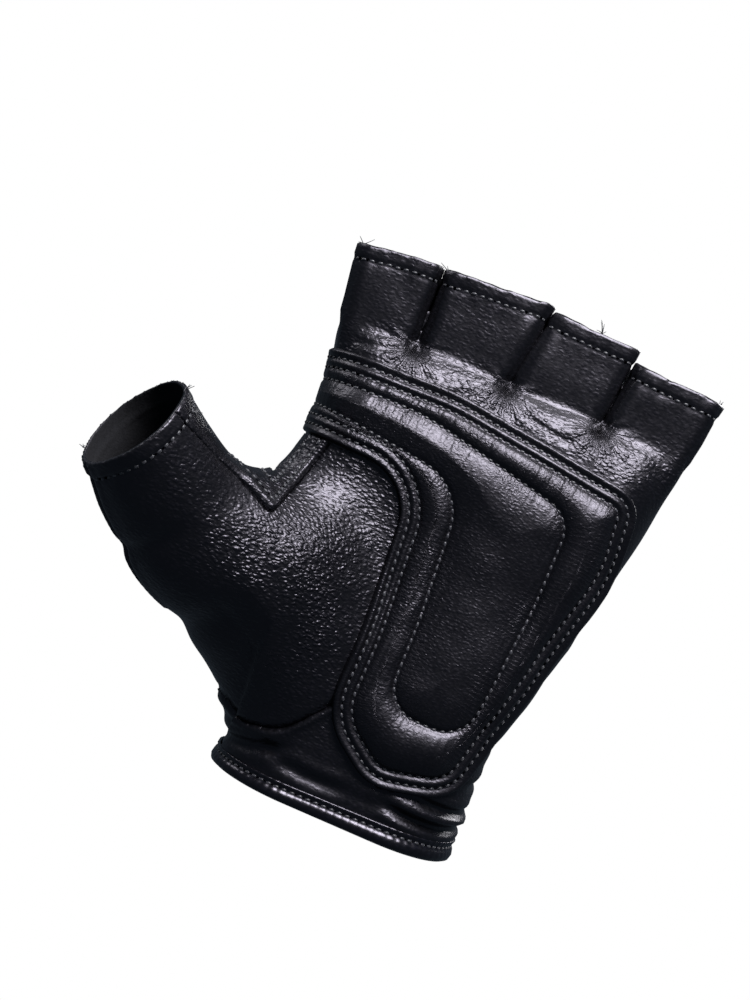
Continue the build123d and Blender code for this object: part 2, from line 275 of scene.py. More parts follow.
def finer(mesh):
    """Every triangle in four, its new points back on the skin."""
    points, faces = mesh
    edges = np.sort(np.concatenate((faces[:, (0, 1)], faces[:, (1, 2)], faces[:, (2, 0)])), axis=1)
    unique, place = np.unique(edges, axis=0, return_inverse=True)
    ab, bc, ca = place.reshape(3, -1) + len(points)
    a, b, c = faces.T
    middles = settle(points[unique].mean(axis=1), 1)
    faces = np.concatenate([np.stack(t, 1) for t in ((a, ab, ca), (ab, b, bc), (ca, bc, c), (ab, bc, ca))])
    return np.concatenate((points, middles)), faces


def border(faces):
    """The open edges of a mesh, in the direction its faces run."""
    edges = np.concatenate((faces[:, (0, 1)], faces[:, (1, 2)], faces[:, (2, 0)]))
    either_way = np.sort(edges, axis=1)
    _, place, count = np.unique(either_way, axis=0, return_inverse=True, return_counts=True)
    return edges[count[place.reshape(-1)] == 1]


def as_object(name, points, faces, materials, slots=None):
    """A smooth mesh object with its place in its mesh, in metres."""
    mesh = bpy.data.meshes.new(name)
    mesh.from_pydata((np.asarray(points) * MM).tolist(), [], list(faces))
    for material in materials:
        mesh.materials.append(material)
    if slots is not None:
        mesh.polygons.foreach_set("material_index", np.asarray(slots, dtype=np.int32))
    mesh.polygons.foreach_set("use_smooth", np.ones(len(mesh.polygons), dtype=bool))
    mesh.update()
    piece = bpy.data.objects.new(name, mesh)
    bpy.context.collection.objects.link(piece)
    return piece


def grain_share(p):
    """How much of its grain the leather shows: all on the ball of the thumb, less where it is stretched."""
    x, y, z = p.T
    ball = 1.15 * np.exp(-((x + 24) ** 2 + (z - 66) ** 2) / 32 ** 2) * (y < 5)
    band = 0.35 * np.exp(-((z - 111) / 6) ** 2)
    rest = 0.38 - 0.14 * np.clip((z - 118) / 4, 0, 1)
    return np.clip(ball + band + rest, 0, 1.5) * np.clip((z + 4) / 26, 0.2, 1)


def levels(points, height):
    """A height for each point, from a number or from how it varies over the skin."""
    return height(points) if callable(height) else np.full(len(points), float(height))


def hide(name, mesh, height, thickness, materials, edge=EDGE_ROUND, pulled=None):
    """A closed piece: its outer face at a height over the skin, its flesh side a thickness under that.

    Where thread pulls the leather, the finish draws lines: pulled gives their phase and strength.
    """
    points, faces = mesh
    normal = facing(points)
    rise = levels(points, height)
    low = points + normal * (rise - levels(points, thickness))[:, None]
    rim = border(faces)
    on_rim = np.unique(rim)
    rise[on_rim] -= edge
    top = points + normal * rise[:, None]
    n = len(points)
    a, b = rim.T
    wall = np.concatenate((np.stack((b, a, a + n), 1), np.stack((b, a + n, b + n), 1)))
    every = np.concatenate((faces, wall, faces[:, ::-1] + n))
    slots = np.concatenate((np.zeros(len(faces) + len(wall)), np.full(len(faces), len(materials) - 1)))
    piece = as_object(name, np.concatenate((top, low)), every, materials, slots)
    finish = {"grain": grain_share(points)}
    if pulled:
        finish["pull_phase"], finish["pull"] = pulled(points)
    for label, values in finish.items():
        layer = piece.data.attributes.new(label, "FLOAT", "POINT")
        layer.data.foreach_set("value", np.concatenate((values, np.zeros(n))))
    return piece


# ---------------------------------------------------------------------------------------------------------
# Outlines that the pieces are cut to, as the maker's patterns lie on the palm: corners (x, z) with the
# radius that rounds each, and the distance inside one.

SIDE = -64.0
PATCH = ((SIDE, 109.2, 2), (-12, 110.8, 90), (39.8, 104.4, 8), (42.6, 84, 40), (26, 17.5, 12),
         (5, 12.6, 13), (-12, 24.5, 18), (-12, 50, 90), (-14.5, 86.4, 14), (SIDE, 87.5, 2))
PAD_LINE = ((SIDE, 101.2, 2), (-18, 102.2, 60), (25.2, 93.4, 8), (25.5, 68, 70), (21.8, 32.2, 8.5),
            (1, 32.2, 8.5), (0.6, 55, 70), (-2.2, 90, 14), (SIDE, 97.0, 2))
THENAR = ((-120, 112, 2), (-70, 92, 2), (-38, 94, 2), (-9, 94, 4), (-8, 55, 40), (-9, 30, 10),
          (-20, 16.5, 12), (-31, 14, 10), (-45, 19, 10), (-120, 25, 2))
WEB_PIECE = ((-90, 95, 2), (-90, 87.4, 2), (-42.6, 65.2, 1), (-35.2, 95, 2))


def rounded_outline(corners, step=1.5):
    """A closed line through the corners, each rounded by its own radius, in even short steps."""
    ring = [np.array(corner[:2], dtype=float) for corner in corners]
    line = []
    for i, point in enumerate(ring):
        before, after = ring[i - 1] - point, ring[(i + 1) % len(ring)] - point
        before, after = before / np.linalg.norm(before), after / np.linalg.norm(after)
        half = math.acos(np.clip(before @ after, -1, 1)) / 2
        radius = corners[i][2]
        middle = point + (before + after) / np.linalg.norm(before + after) * radius / math.sin(half)
        start, end = (point + arm * radius / math.tan(half) - middle for arm in (before, after))
        sweep = math.pi - 2 * half
        turns = max(2, int(radius * sweep / step))
        turn = math.copysign(sweep, start[0] * end[1] - start[1] * end[0])
        for t in np.linspace(0, turn, turns + 1):
            c, s = math.cos(t), math.sin(t)
            line.append(middle + (c * start[0] - s * start[1], s * start[0] + c * start[1]))
    line = np.array(line)
    return np.vstack((line, line[:1]))


def inside(line, p):
    """How far points lie inside a closed outline on the palm, negative outside."""
    x, z = p[:, 0], p[:, 2]
    nearest = np.full(len(p), 1e9)
    within = np.zeros(len(p), dtype=bool)
    for (ax, az), (bx, bz) in zip(line[:-1], line[1:]):
        ex, ez = bx - ax, bz - az
        long = ex * ex + ez * ez
        if long < 1e-9:
            continue
        t = np.clip(((x - ax) * ex + (z - az) * ez) / long, 0, 1)
        nearest = np.minimum(nearest, np.hypot(x - ax - t * ex, z - az - t * ez))
        if az != bz:
            crosses = ((az > z) != (bz > z)) & (x < (bx - ax) * (z - az) / (bz - az) + ax)
            within ^= crosses
    return np.where(within, nearest, -nearest)


def way_along(line, p):
    """How far round a closed outline the place nearest to each point is."""
    x, z = p[:, 0], p[:, 2]
    nearest = np.full(len(p), 1e9)
    way = np.zeros(len(p))
    gone = 0.0
    for (ax, az), (bx, bz) in zip(line[:-1], line[1:]):
        ex, ez = bx - ax, bz - az
        long = math.hypot(ex, ez)
        if long < 1e-6:
            continue
        t = np.clip(((x - ax) * ex + (z - az) * ez) / long ** 2, 0, 1)
        off = np.hypot(x - ax - t * ex, z - az - t * ez)
        closer = off < nearest
        nearest = np.where(closer, off, nearest)
        way = np.where(closer, gone + t * long, way)
        gone += long
    return way


PATCH_LINE = rounded_outline(PATCH)
PAD_STITCH_LINE = rounded_outline(PAD_LINE)
THENAR_LINE = rounded_outline(THENAR)
WEB_LINE = rounded_outline(WEB_PIECE)


# ---------------------------------------------------------------------------------------------------------
# How the leather lies. Seams pull it in, thread dimples it, and it creases where the hand bends: each is a
# small height added over the smooth skin.

THUMB_FACE = np.cross(np.cross(THUMB_AXIS, (0, -1, 0)), THUMB_AXIS)
THUMB_FACE /= np.linalg.norm(THUMB_FACE)
SLIT_X, SLIT_HALF, SLIT_TOP = 2.0, 4.5, 40.0
FOURCHETTE_HALF = 8.2
THUMB_BACK = 42.0
PARTING_SHIFT = 4.0
HEM = 4.0


def wander(p, size, seed, stretch=(1, 1, 1)):
    """Smooth unevenness about a size across, between -1 and 1 or so, the same on every run."""
    random = np.random.default_rng(seed)
    total = np.zeros(len(p))
    for _ in range(10):
        way = random.normal(size=3)
        way *= random.uniform(0.6, 1.5) / np.linalg.norm(way) / np.array(stretch)
        total += np.sin(p @ way * 2 * math.pi / size / 1.6 + random.uniform(0, 2 * math.pi))
    return total / 4


def dent(distance, width):
    """A soft-edged line: 1 on it, falling to nothing a couple of widths away."""
    return np.exp(-(distance / width) ** 2)


def seam(distance, depth=0.7):
    """Two turned edges pulled together: a groove with a swell on each side."""
    return -depth * dent(distance, 0.7) + 0.45 * depth * dent(np.abs(distance) - 1.9, 1.2)


def crease(p, start, end, depth, width):
    """A fold in the palm side between two places (x, z), fading out at its ends."""
    a, b = np.array(start, dtype=float), np.array(end, dtype=float)
    q = p[:, (0, 2)] - a
    way = b - a
    t = q @ way / (way @ way)
    off = (q[:, 0] * way[1] - q[:, 1] * way[0]) / np.linalg.norm(way)
    bow = 0.06 * np.linalg.norm(way) * np.sin(np.clip(t, 0, 1) * math.pi)
    fade = np.clip(1 - (2 * np.abs(t - 0.5)) ** 4, 0, 1)
    front = p[:, 1] < 2
    swells = 0.6 * dent(np.abs(off - bow) - 1.8 * width, width)
    return depth * fade * front * (swells - dent(off - bow, width))


def stall_of(p):
    """Which stall each point is on, and how far up it from the web, below zero on the palm."""
    names = list(STALLS)
    distance = np.stack([stall_distance(p, name) for name in names])
    nearest = np.argmin(distance, axis=0)
    ups = np.stack([stall_place(p, name)[2] for name in names])
    up = ups[nearest, np.arange(len(p))]
    return nearest, up


# how much each stall's rim drops towards the thumb side
RIM_TILT = {"index": 0.04, "middle": 0.12, "ring": 0.09, "little": 0.06}
CUFF_EDGE = 1.5


def to_rim(p):
    """How far points are short of the rim of their stall, thumb or cuff."""
    lengths = np.array([stall[4] for stall in STALLS.values()])
    nearest, up = stall_of(p)
    wave = 0.25 * wander(p, 9, 3) + 0.12 * wander(p, 2.5, 4)
    tilts = np.array(list(RIM_TILT.values()))
    off_corner = np.stack([stall_place(p, name)[0] - stall[2] for name, stall in STALLS.items()])
    slant = tilts[nearest] * off_corner[nearest, np.arange(len(p))]
    short = np.where(p[:, 2] > WEB, lengths[nearest] - up + slant + wave, 40.0)
    back, _, _ = thumb_place(p)
    on_thumb = (p[:, 0] < -55) & (p[:, 2] < 100)
    short = np.where(on_thumb, np.minimum(short, back + 0.6 * wave), short)
    return np.minimum(short, p[:, 2] - CUFF_EDGE)


def thumb_half(p):
    """How far points are to the palm side of the plane that parts the thumb's two panels."""
    back, across, _ = thumb_place(p)
    shift = PARTING_SHIFT * np.clip(across / 8, 0, 1) * np.clip((50 - back) / 6, 0, 1)
    return (p - THUMB_RIM) @ THUMB_FACE - shift


CROTCHES = ((-27.3, 117.5), (-2.0, 117.5), (24.0, 117.0))


def leather_height(p):
    """All that seams, hems and wear do to the leather, over the smooth skin."""
    x, y, z = p.T
    front = np.clip(-y / 6, 0, 1)
    h = np.clip((z - 5.5) / 8, 0, 1) * (0.28 * wander(p, 22, 11) + 0.10 * wander(p, 8, 12))
    _, up = stall_of(p)
    on_stall = np.clip(up / 3, 0, 1) * (z > WEB - 3)
    # hem: doubled leather above its row of stitches
    short = to_rim(p)
    hem = (short < 30) & ((z > WEB) | (x < -55))
    h += hem * (0.25 * np.clip((HEM - short) / 1.5 + 0.5, 0, 1) - 0.35 * dent(short - HEM, 0.6))
    h += hem * 0.18 * dent(short - HEM, 2.0) * wander(p, 2.6, 5, (1, 1, 3))
    # puckers that run out from each crotch between two stalls
    for i, (cx, cz) in enumerate(CROTCHES):
        out = np.hypot(x - cx, z - cz)
        angle = np.arctan2(z - cz, x - cx)
        ray = np.cos(11 * angle + 2 * i + 0.4 * wander(p, 6, 20 + i))
        h += front * 0.22 * ray * dent(out - 4.5, 4.5) * np.clip((WEB + 4 - z) / 3, 0, 1)
        h -= front * 0.9 * dent(out, 2.2)
    # side seams of the hand, and the seams of the fourchettes down the stalls
    sides = (np.abs(x) > 30) & (np.abs(y) < 5) & (short > 1)
    outer = (x < -40) & (z > 86) | (x > 28)
    h += sides * outer * seam(y, 0.55)
    fold = np.abs(y) - FOURCHETTE_HALF
    h += on_stall * ~(sides & outer) * (0.65 * dent(fold - 0.5, 0.8) - 0.5 * dent(fold + 1.2, 0.8))
    # the thumb's back panel stands off the hand in two soft bellies, drawn in by the seam at its end
    back, across, _ = thumb_place(p)
    outside = np.clip(across / 9, 0, 1) * (x < -32) * (z < 80)
    h += outside * (0.3 * dent(back - 13, 6) + 0.6 * dent(back - 32, 6) - 0.9 * dent(back - 23, 2.5))
    h += (x < -44) * (short > 1) * (back < THUMB_BACK) * np.clip(across / 4, 0, 1) * seam(thumb_half(p), 0.9)
    h -= outside * (0.6 + 2.1 * dent(back - THUMB_BACK - 6, 6) + 1.9 * dent(back - THUMB_BACK - 20, 12))
    return h


# folds in the palm side: from, to, depth and width
FOLDS = (((-36, 8), (-15, 14.5), 0.9, 1.5), ((-24, 12), (2, 9.5), 0.7, 1.6),
         ((8, 11.5), (34, 9.5), 1.0, 1.3), ((14, 16.5), (36, 14), 0.8, 1.2),
         ((31, 30), (39, 52), 0.8, 1.3), ((29, 20), (37, 27), 0.7, 1.2),
         ((38, 62), (45, 84), 0.7, 1.4), ((-22, 108), (-6, 114.5), 0.35, 1.0),
         ((2, 114), (20, 110.5), 0.35, 1.0),
         ((-43, 113), (-30, 116), 0.35, 1.0), ((-45, 20), (-36, 30), 0.5, 1.2))


def palm_height(p):
    """The palm side's own folds, on top of what all the leather has."""
    x, y, z = p.T
    h = leather_height(p)
    on_thumb = inside(THENAR_LINE, p)
    h += (y < 2) * (x > -60) * (0.55 * dent(on_thumb + 0.9, 0.8) - 0.6 * dent(on_thumb - 0.3, 0.7))
    ball = np.clip(on_thumb, 0, 1)
    for start, end, depth, width in FOLDS:
        h += (1 - ball) * crease(p, start, end, depth, width)
    # slack pushed up above the binding
    slack = np.clip((19 - z) / 6, 0, 1) * np.clip((z - 6) / 2, 0, 1) * np.clip((5 - y) / 4, 0, 1)
    share = np.clip((x + 5) / 25, 0.15, 1)
    h += slack * share * 0.55 * np.sin(z * 2 * math.pi / 5.0 - 0.05 * x + 0.8 * wander(p, 24, 31))
    return h


# ---------------------------------------------------------------------------------------------------------
# Black nappa, the glove's one leather: drum-dyed and finished with a thin gloss, so it shows a pebble grain
# about 1.2 mm across and fine creases between.

GRAIN = 0.85


def srgb(code):
    """A linear colour from its sRGB hex code."""
    values = [int(code[i:i + 2], 16) / 255 for i in (1, 3, 5)]
    return [v / 12.92 if v <= 0.04045 else ((v + 0.055) / 1.055) ** 2.4 for v in values] + [1.0]


def add(tree, kind, settings=None, **inputs):
    """A node with its settings, its inputs set to values or linked from other nodes' outputs."""
    node = tree.nodes.new(kind)
    for key, value in (settings or {}).items():
        setattr(node, key, value)
    for key, value in inputs.items():
        socket = node.inputs[int(key[1:])] if key[0] == "_" else node.inputs[key.replace("_", " ")]
        if isinstance(value, bpy.types.NodeSocket):
            tree.links.new(value, socket)
        else:
            socket.default_value = value
    return node


def new_material(name):
    """An empty material with its shader, and the place on the piece in millimetres."""
    material = bpy.data.materials.new(name)
    material.use_nodes = True
    tree = material.node_tree
    shader = tree.nodes["Principled BSDF"]
    place = add(tree, "ShaderNodeTexCoord").outputs["Object"]
    millimetres = add(tree, "ShaderNodeVectorMath", {"operation": "SCALE"}, Vector=place, Scale=1 / MM)
    return material, tree, shader, millimetres.outputs[0]


def nappa(name, dark, bright, rough, grain, relief, gloss):
    """Grained black leather: pebbles parted by fine creases, with lines where thread pulls on it."""
    material, tree, shader, mm = new_material(name)
    warp = add(tree, "ShaderNodeTexNoise", Vector=mm, Scale=0.45 / grain, Detail=2.0)
    shift = add(tree, "ShaderNodeVectorMath", {"operation": "MULTIPLY_ADD"}, _0=warp.outputs["Color"],
                _1=(1.2 * grain,) * 3, _2=mm)
    squash = add(tree, "ShaderNodeMapping", Vector=shift.outputs[0], Rotation=(0, -0.3, 0),
                 Scale=(0.56, 0.7, 1.0))
    cells = add(tree, "ShaderNodeTexVoronoi", {"feature": "SMOOTH_F1"}, Vector=squash.outputs[0],
                Scale=1 / grain, Smoothness=0.35)
    pebble = add(tree, "ShaderNodeMapRange", {"interpolation_type": "SMOOTHSTEP"},
                 Value=cells.outputs["Distance"], From_Min=0.62, From_Max=0.12)
    fine = add(tree, "ShaderNodeTexNoise", Vector=squash.outputs[0], Scale=1.35 / grain, Detail=1.5,
               Roughness=0.5)
    broad = add(tree, "ShaderNodeTexNoise", Vector=mm, Scale=0.06, Detail=2.0)
    patchy = add(tree, "ShaderNodeMapRange", Value=broad.outputs["Fac"], From_Min=0.35, From_Max=0.65,
                 To_Min=0.45, To_Max=1.0)
    height = add(tree, "ShaderNodeMath", {"operation": "MULTIPLY_ADD"}, _0=fine.outputs["Fac"], _1=1.3,
                 _2=pebble.outputs[0])
    share = add(tree, "ShaderNodeAttribute", {"attribute_name": "grain"}).outputs["Fac"]
    shown = add(tree, "ShaderNodeMath", {"operation": "MULTIPLY"}, _0=share, _1=patchy.outputs[0])
    grained = add(tree, "ShaderNodeMath", {"operation": "MULTIPLY"}, _0=height.outputs[0],
                  _1=shown.outputs[0])
    phase = add(tree, "ShaderNodeAttribute", {"attribute_name": "pull_phase"}).outputs["Fac"]
    pull = add(tree, "ShaderNodeAttribute", {"attribute_name": "pull"}).outputs["Fac"]
    sway = add(tree, "ShaderNodeMath", {"operation": "MULTIPLY_ADD"}, _0=fine.outputs["Fac"], _1=9.0,
               _2=phase)
    line = add(tree, "ShaderNodeMath", {"operation": "SINE"}, _0=sway.outputs[0])
    drawn = add(tree, "ShaderNodeMath", {"operation": "MULTIPLY"}, _0=line.outputs[0], _1=pull)
    both = add(tree, "ShaderNodeMath", {"operation": "MULTIPLY_ADD"}, _0=drawn.outputs[0], _1=0.5,
               _2=grained.outputs[0])
    bump = add(tree, "ShaderNodeBump", Strength=1.0, Distance=relief * MM, Height=both.outputs[0])
    tree.links.new(bump.outputs[0], shader.inputs["Normal"])
    tone = add(tree, "ShaderNodeMath", {"operation": "MULTIPLY"}, _0=pebble.outputs[0],
               _1=broad.outputs["Fac"])
    colour = add(tree, "ShaderNodeMix", {"data_type": "RGBA"}, _0=tone.outputs[0], _6=srgb(dark),
                 _7=srgb(bright))
    tree.links.new(colour.outputs[2], shader.inputs["Base Color"])
    polish = add(tree, "ShaderNodeMapRange", Value=fine.outputs["Fac"], From_Min=0.3, From_Max=0.7,
                 To_Min=rough + 0.05, To_Max=rough - 0.05)
    tree.links.new(polish.outputs[0], shader.inputs["Roughness"])
    shader.inputs["Specular IOR Level"].default_value = gloss
    shader.inputs["Specular Tint"].default_value = srgb("#e6e0f2")
    return material


def suede(name, dark, bright):
    """The flesh side: short soft nap with no shine."""
    material, tree, shader, mm = new_material(name)
    nap = add(tree, "ShaderNodeTexNoise", Vector=mm, Scale=1.6, Detail=5.0, Roughness=0.7)
    colour = add(tree, "ShaderNodeMix", {"data_type": "RGBA"}, _0=nap.outputs["Fac"], _6=srgb(dark),
                 _7=srgb(bright))
    tree.links.new(colour.outputs[2], shader.inputs["Base Color"])
    bump = add(tree, "ShaderNodeBump", Strength=0.6, Distance=0.3 * MM, Height=nap.outputs["Fac"])
    tree.links.new(bump.outputs[0], shader.inputs["Normal"])
    shader.inputs["Roughness"].default_value = 0.95
    shader.inputs["Specular IOR Level"].default_value = 0.15
    return material


PALM_NAPPA = nappa("nappa_leather_pebbled", "#060608", "#100f15", 0.34, GRAIN, 0.19, 0.65)
PATCH_NAPPA = nappa("nappa_leather_smooth", "#050507", "#0d0d12", 0.36, 0.8 * GRAIN, 0.08, 0.6)
BACK_NAPPA = nappa("nappa_leather_fine", "#07070a", "#101014", 0.38, 0.9 * GRAIN, 0.13, 0.55)
FLESH_SIDE = suede("leather_flesh_side", "#0c0c0e", "#26262a")


# ---------------------------------------------------------------------------------------------------------
# Palm panel: one piece of nappa from the cuff to the rims of the four stalls, cut away round the ball of
# the thumb. It is seamed to the back panel down both sides.

WEB_EDGE = -34.0


def crotch_pull(p):
    """The palm's fine lines, that run out from the crotches between the stalls."""
    x, y, z = p.T
    phase, pull = np.zeros(len(p)), np.zeros(len(p))
    for cx, cz in CROTCHES:
        out = np.hypot(x - cx, z - cz)
        strength = 0.8 * np.exp(-(out / 6.5) ** 2) * (y < 0) * np.clip((WEB + 1 - z) / 2, 0, 1)
        phase = np.where(strength > pull, np.arctan2(x - cx, cz - z) * 52, phase)
        pull = np.maximum(pull, strength)
    return phase, pull


def web_side(p):
    """How far inside the web piece a point on the palm side is."""
    return np.minimum(inside(WEB_LINE, p), -p[:, 1] + 0.3)


def thenar_side(p):
    """How far inside the thumb's palm-side panel a point is, clear of the web piece."""
    front = np.maximum(thumb_half(p), p[:, 0] + 48)
    return np.minimum.reduce((inside(THENAR_LINE, p), front, -web_side(p), -p[:, 1] + 1))


def thumb_back_side(p):
    """How far inside the thumb's back panel a point is."""
    back, _, _ = thumb_place(p)
    reach = np.minimum.reduce((THUMB_BACK - back, -46.0 - p[:, 0], -thumb_half(p), 97 - p[:, 2]))
    return np.minimum(reach, -web_side(p))


def fourchette_side(p, left, right):
    """How far inside the strip between two stalls a point is."""
    past_left = stall_place(p, left)[0]
    short_right = -stall_place(p, right)[0]
    width = FOURCHETTE_HALF - np.abs(p[:, 1])
    return np.minimum.reduce((width, past_left, short_right, p[:, 2] - WEB + 2.5))


def any_fourchette(p):
    """The three strips together."""
    names = list(STALLS)
    return np.maximum.reduce([fourchette_side(p, a, b) for a, b in zip(names, names[1:])])


def palm_side(p):
    """How far inside the palm panel a point is."""
    root = np.minimum.reduce((WEB_EDGE - p[:, 0], 68.5 - p[:, 2], -thumb_half(p)))
    own = np.minimum(-p[:, 1], -root)
    return np.minimum.reduce((own, -thenar_side(p), -web_side(p), -thumb_back_side(p), -any_fourchette(p)))


def back_side(p):
    """How far inside the back panel a point is."""
    taken = np.maximum.reduce(
        (palm_side(p), thenar_side(p), web_side(p), thumb_back_side(p), any_fourchette(p)))
    arch = np.hypot(p[:, 0] - SLIT_X, np.maximum(p[:, 2] - SLIT_TOP + SLIT_HALF, 0)) - SLIT_HALF
    return np.where(p[:, 1] > 0, np.minimum(-taken, arch), -taken)


TRIMMED = cut(SKIN, to_rim)
PALM_LEATHERS, BACK_LEATHERS = [PALM_NAPPA, FLESH_SIDE], [BACK_NAPPA, FLESH_SIDE]
panel = hide("palm_panel_leather", cut(TRIMMED, palm_side), palm_height, LEATHER, PALM_LEATHERS,
             pulled=crotch_pull)
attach(panel, "glove")
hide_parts("palm_panel")


# ---------------------------------------------------------------------------------------------------------
# Thumb front: the nappa panel over the ball of the thumb, with the fullest grain. It is set into the palm
# panel by a turned seam and runs on under the palm patch.

panel = hide("thumb_front_leather", cut(TRIMMED, thenar_side), palm_height, LEATHER, PALM_LEATHERS)
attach(panel, "glove")
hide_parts("thumb_front")


# ---------------------------------------------------------------------------------------------------------
# Thumb back: a second panel closes the thumb to a tube. Its seams are turned inside, and it ends at a seam
# across the root of the thumb.

panel = hide("thumb_back_leather", cut(TRIMMED, thumb_back_side), leather_height, LEATHER, BACK_LEATHERS)
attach(panel, "glove")
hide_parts("thumb_back")


# ---------------------------------------------------------------------------------------------------------
# Web gusset: a small piece of nappa let in between the thumb and the index finger, so that the thumb can
# stand out. Its point lies under the V of the web band.

panel = hide("web_gusset_leather", cut(TRIMMED, web_side), leather_height, LEATHER, PALM_LEATHERS)
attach(panel, "glove")
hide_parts("web_gusset")


# ---------------------------------------------------------------------------------------------------------
# Back panel: one piece of nappa from the cuff to the rims of the stalls, seamed to the palm panel down both
# sides. A round-topped slit at the wrist lets the hand through.

panel = hide("back_panel_leather", cut(TRIMMED, back_side), leather_height, LEATHER, BACK_LEATHERS)
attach(panel, "glove")
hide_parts("back_panel")


# ---------------------------------------------------------------------------------------------------------
# Fourchettes: the three strips of nappa that form the facing sides of neighbouring stalls, in one length
# down one finger, through the crotch and up the next.

names = list(STALLS)
for left, right in zip(names, names[1:]):
    strip = cut(TRIMMED, lambda p: fourchette_side(p, left, right))
    panel = hide(f"fourchette_{left}_{right}_leather", strip, leather_height, LEATHER, BACK_LEATHERS)
    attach(panel, "glove")
    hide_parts(f"fourchette_{left}_{right}")


# ---------------------------------------------------------------------------------------------------------
# Palm patch: a second layer of nappa, sewn round its edge by two rows and once more inside, over foam that
# swells between the rows.

PATCH_THICK = 1.1
PATCH_ROWS = (2.4, 5.0)
SWELL = 2.5
PATCH_WRAP = -4.0


def swell(p):
    """How far the foam pushes the patch out: nothing at the rows of thread, a soft crown between them."""
    edge = inside(PATCH_LINE, p) - PATCH_ROWS[1]
    line = np.abs(inside(PAD_STITCH_LINE, p))
    from_edge = 1 - np.exp(-(np.maximum(edge, 0) / 3.4) ** 1.2)
    from_line = 1 - np.exp(-(line / np.where(inside(PAD_STITCH_LINE, p) > 0, 5.5, 3.2)) ** 1.2)
    wrapped = np.clip((PATCH_WRAP - p[:, 1]) / 11, 0.1, 1)
    return SWELL * from_edge * from_line * wrapped * (1 + 0.12 * wander(p, 20, 42))


def patch_rise(p):
    """How far the patch's face stands over the palm panel."""
    edge = inside(PATCH_LINE, p)
    h = PATCH_THICK * np.clip(edge / 0.6, 0, 1) ** 0.5 + 0.1 + swell(p)
    flat = np.clip((PATCH_WRAP - p[:, 1]) / 5, 0.2, 1)
    for row in PATCH_ROWS:
        h -= 0.4 * flat * dent(edge - row, 0.6)
    h += flat * (0.3 * dent(edge - sum(PATCH_ROWS) / 2, 0.7) + 0.35 * dent(edge - 0.9, 0.7))
    return h - 0.4 * dent(inside(PAD_STITCH_LINE, p), 0.7)


def patch_height(p):
    """The patch's face over the smooth skin, with the fine creases that the swelling leather takes."""
    edge = inside(PATCH_LINE, p)
    line = inside(PAD_STITCH_LINE, p)
    pulled = dent(edge - PATCH_ROWS[1] - 2.5, 3.0) + dent(np.abs(line) - 2.5, 2.5)
    drag = wander(p, 2.6, 41, (0.55, 1, 1.9)) + 0.6 * wander(p, 5.0, 43, (0.6, 1, 1.6))
    return leather_height(p) + patch_rise(p) + 0.06 * pulled * drag


def patch_pull(p):
    """The patch's fine lines, square to its rows of thread."""
    edge = inside(PATCH_LINE, p) - PATCH_ROWS[1]
    line = inside(PAD_STITCH_LINE, p)
    by_line = np.abs(line) < np.abs(edge)
    phase = np.where(by_line, way_along(PAD_STITCH_LINE, p), way_along(PATCH_LINE, p)) * 2 * math.pi / 1.15
    near = np.minimum(np.abs(line), np.where(edge > 0, edge, 99))
    uneven = np.clip(0.65 + 0.5 * wander(p, 12, 44), 0, 1.2)
    return phase, 0.9 * np.exp(-(near / 5.0) ** 2) * uneven


def patch_area(p):
    """How far inside the patch a point of the palm side is."""
    return np.minimum.reduce((inside(PATCH_LINE, p), PATCH_WRAP - p[:, 1], p[:, 0] + 55))


under = cut(TRIMMED, lambda p: np.minimum(inside(PATCH_LINE, p) + 3, PATCH_WRAP + 3 - p[:, 1]))
PATCH_SKIN = finer(under)
patch = hide("palm_patch_leather", cut(PATCH_SKIN, patch_area), patch_height, PATCH_THICK,
             [PATCH_NAPPA, FLESH_SIDE], pulled=patch_pull)
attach(patch, "glove")
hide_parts("palm_patch")


# ---------------------------------------------------------------------------------------------------------
# Foam pads: two cuts of closed-cell foam under the patch, a centre and the border round it, that fill the
# swell between the rows of thread.

PAD_AIR = 0.15
PAD_FROM_ROW = 1.8
BORDER_FROM_EDGE = 6.9


def closed_cell_foam():
    """Dark foam with fine cells cut open at its faces."""
    material, tree, shader, mm = new_material("closed_cell_foam_cut")
    cells = add(tree, "ShaderNodeTexVoronoi", Vector=mm, Scale=2.0)
    colour = add(tree, "ShaderNodeMix", {"data_type": "RGBA"}, _0=cells.outputs["Distance"],
                 _6=srgb("#303033"), _7=srgb("#4a4a4e"))
    tree.links.new(colour.outputs[2], shader.inputs["Base Color"])
    bump = add(tree, "ShaderNodeBump", Strength=0.5, Distance=0.2 * MM, Height=cells.outputs["Distance"])
    tree.links.new(bump.outputs[0], shader.inputs["Normal"])
    shader.inputs["Roughness"].default_value = 0.85
    return material


def pad_top(p):
    """The foam's outer face, just under the patch."""
    return leather_height(p) + patch_rise(p) - PATCH_THICK - PAD_AIR


def pad_depth(p):
    """The foam's thickness, down to the palm panel."""
    return np.maximum(patch_rise(p) - PATCH_THICK - 2 * PAD_AIR, 0.1)


FOAM = closed_cell_foam()
centre_skin = cut(under, lambda p: np.minimum(inside(PAD_STITCH_LINE, p) - PAD_FROM_ROW, patch_area(p) - 1))
pad = hide("pad_centre_foam", centre_skin, pad_top, pad_depth, [FOAM], edge=0)
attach(pad, "glove")
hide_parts("pad_centre")

border_skin = cut(under, lambda p: np.minimum(
    -inside(PAD_STITCH_LINE, p) - PAD_FROM_ROW, patch_area(p) - BORDER_FROM_EDGE))
pad = hide("pad_border_foam", border_skin, pad_top, pad_depth, [FOAM], edge=0)
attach(pad, "glove")
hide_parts("pad_border")


# ---------------------------------------------------------------------------------------------------------
# Web band: a strip of nappa with its outer edge folded under, sewn over the seam of the web gusset in a V
# with its point on the palm. Two rows of thread hold it down.

BAND_WIDTH = 6.2
BAND_THICK = 0.9
WEB_ROWS = (1.8, 4.4)


